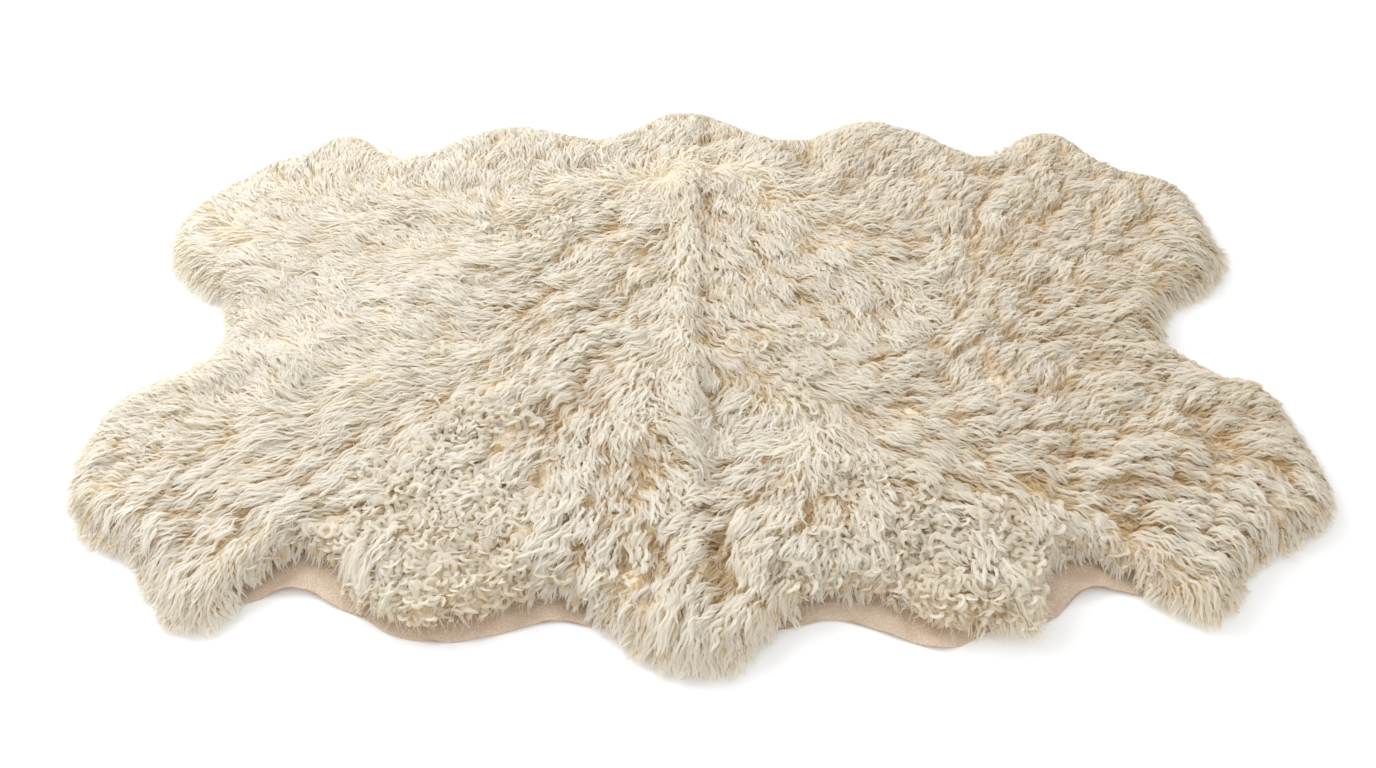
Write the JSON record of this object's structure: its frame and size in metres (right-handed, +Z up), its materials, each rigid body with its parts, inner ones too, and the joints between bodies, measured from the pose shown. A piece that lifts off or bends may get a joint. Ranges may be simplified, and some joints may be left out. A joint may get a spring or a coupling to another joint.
{
  "type": "sheepskin rug",
  "caption": "Long-wool sheepskin rug of joined pelts, lying flat: scalloped outline, locks round the rim, bare leather at a few margins.",
  "frame": {"origin": "middle of the floor patch that the rug covers, at floor level", "axes": "+X to the right along the rug's length, +Y away from the viewer across its width, +Z up out of the pile"},
  "size_m": [1.834, 1.2176, 0.052],
  "materials": {
    "wool": "matt ivory wool in long wavy locks, golden tan in its depth",
    "leather": "matt peach-tan suede with a fine pebbled grain and a darker cut edge"
  },
  "bodies": {
    "root": {"hide_front_left": "leather", "wool_front_left": "wool", "hide_front_right": "leather", "wool_front_right": "wool", "hide_back_left": "leather", "wool_back_left": "wool", "hide_back_right": "leather", "wool_back_right": "wool"}
  },
  "joints": []
}
